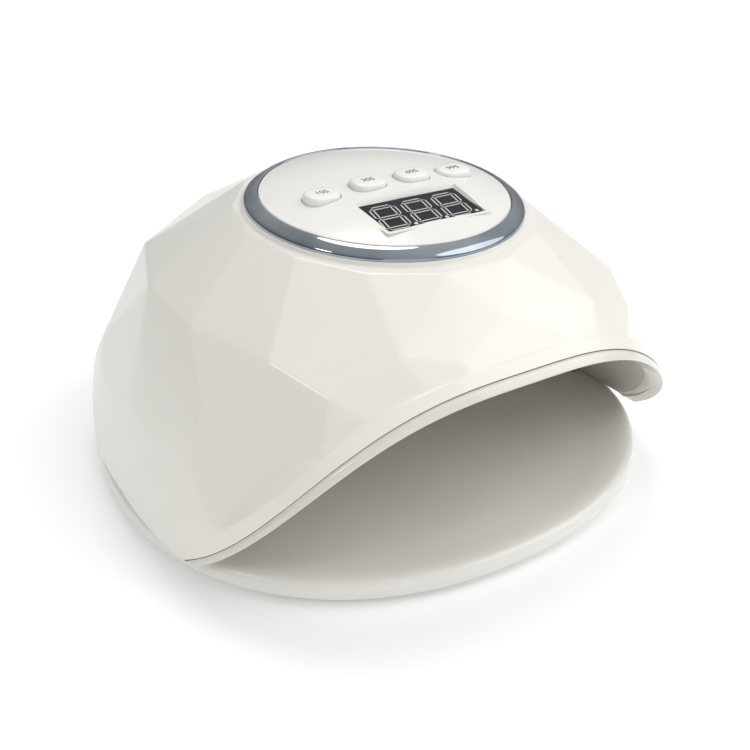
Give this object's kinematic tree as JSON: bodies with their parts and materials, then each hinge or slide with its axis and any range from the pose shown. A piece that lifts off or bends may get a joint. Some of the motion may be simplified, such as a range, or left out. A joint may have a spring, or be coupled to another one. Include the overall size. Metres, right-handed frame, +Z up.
{
  "type": "uv curing lamp",
  "caption": "Faceted white dome lamp with an arched hand opening, a chrome-ringed tilted control panel with push buttons and a number display, on a separate base plate",
  "frame": {"origin": "centre of the bounding box at the bottom, where the rubber feet stand on the table", "axes": "+Z up, -Y towards the arched opening at the front, +X to the right seen from the front"},
  "size_m": [0.202, 0.2047, 0.1088],
  "materials": {
    "shell_plastic": "pearl white gloss",
    "frame_plastic": "pearl beige-grey gloss",
    "base_plastic": "pearl off-white gloss",
    "panel_plastic": "warm white gloss",
    "button_plastic": "white gloss with a small grey label",
    "chrome_trim": "polished chrome plating",
    "window_acrylic": "smoked black acrylic",
    "display_plastic": "matte dark grey",
    "circuit_board": "white solder mask",
    "connector_plastic": "natural nylon",
    "switch_plastic": "black moulded plastic",
    "led_lens": "clear violet-tinted lens",
    "sensor_lens": "dark infrared-passing lens",
    "steel": "zinc-plated steel",
    "magnet_plate": "nickel-plated magnet",
    "rubber_grey": "soft grey rubber",
    "lead_jacket": "red lead insulation"
  },
  "bodies": {
    "base": {"base_plate": "base_plastic", "base_magnets": "magnet_plate", "rubber_feet": "rubber_grey"},
    "hood": {"outer_shell": "shell_plastic", "inner_frame": "frame_plastic", "bottom_cover": "base_plastic", "cover_screws": "steel", "hood_magnets": "magnet_plate", "control_panel": "panel_plastic", "chrome_ring": "chrome_trim", "panel_screws": "steel", "display_window": "window_acrylic", "display_module": "display_plastic", "control_board": "circuit_board", "board_screws": "steel", "board_connectors": "connector_plastic", "tact_switches": "switch_plastic", "top_led_board": "circuit_board", "left_led_board": "circuit_board", "right_led_board": "circuit_board", "rear_led_board": "circuit_board", "light_board_screws": "steel", "uv_leds": "led_lens", "hand_sensor": "sensor_lens", "dc_inlet": "switch_plastic", "inlet_pin": "steel", "inlet_leads": "lead_jacket"},
    "key_10s": {"button_10s": "button_plastic", "plunger_10s": "switch_plastic"},
    "key_30s": {"button_30s": "button_plastic", "plunger_30s": "switch_plastic"},
    "key_60s": {"button_60s": "button_plastic", "plunger_60s": "switch_plastic"},
    "key_99s": {"button_99s": "button_plastic", "plunger_99s": "switch_plastic"}
  },
  "joints": [
    {"name": "hood_lift", "type": "slide", "parent": "base", "child": "hood", "axis": [0, 0, 1], "range_m": [0, 0.08]},
    {"name": "press_10s", "type": "slide", "parent": "hood", "child": "key_10s", "axis": [0, 0.0837, -0.9965], "range_m": [0, 0.0004], "stiffness_N_per_m": 1500},
    {"name": "press_30s", "type": "slide", "parent": "hood", "child": "key_30s", "axis": [0, 0.0837, -0.9965], "range_m": [0, 0.0004], "stiffness_N_per_m": 1500},
    {"name": "press_60s", "type": "slide", "parent": "hood", "child": "key_60s", "axis": [0, 0.0837, -0.9965], "range_m": [0, 0.0004], "stiffness_N_per_m": 1500},
    {"name": "press_99s", "type": "slide", "parent": "hood", "child": "key_99s", "axis": [0, 0.0837, -0.9965], "range_m": [0, 0.0004], "stiffness_N_per_m": 1500}
  ]
}
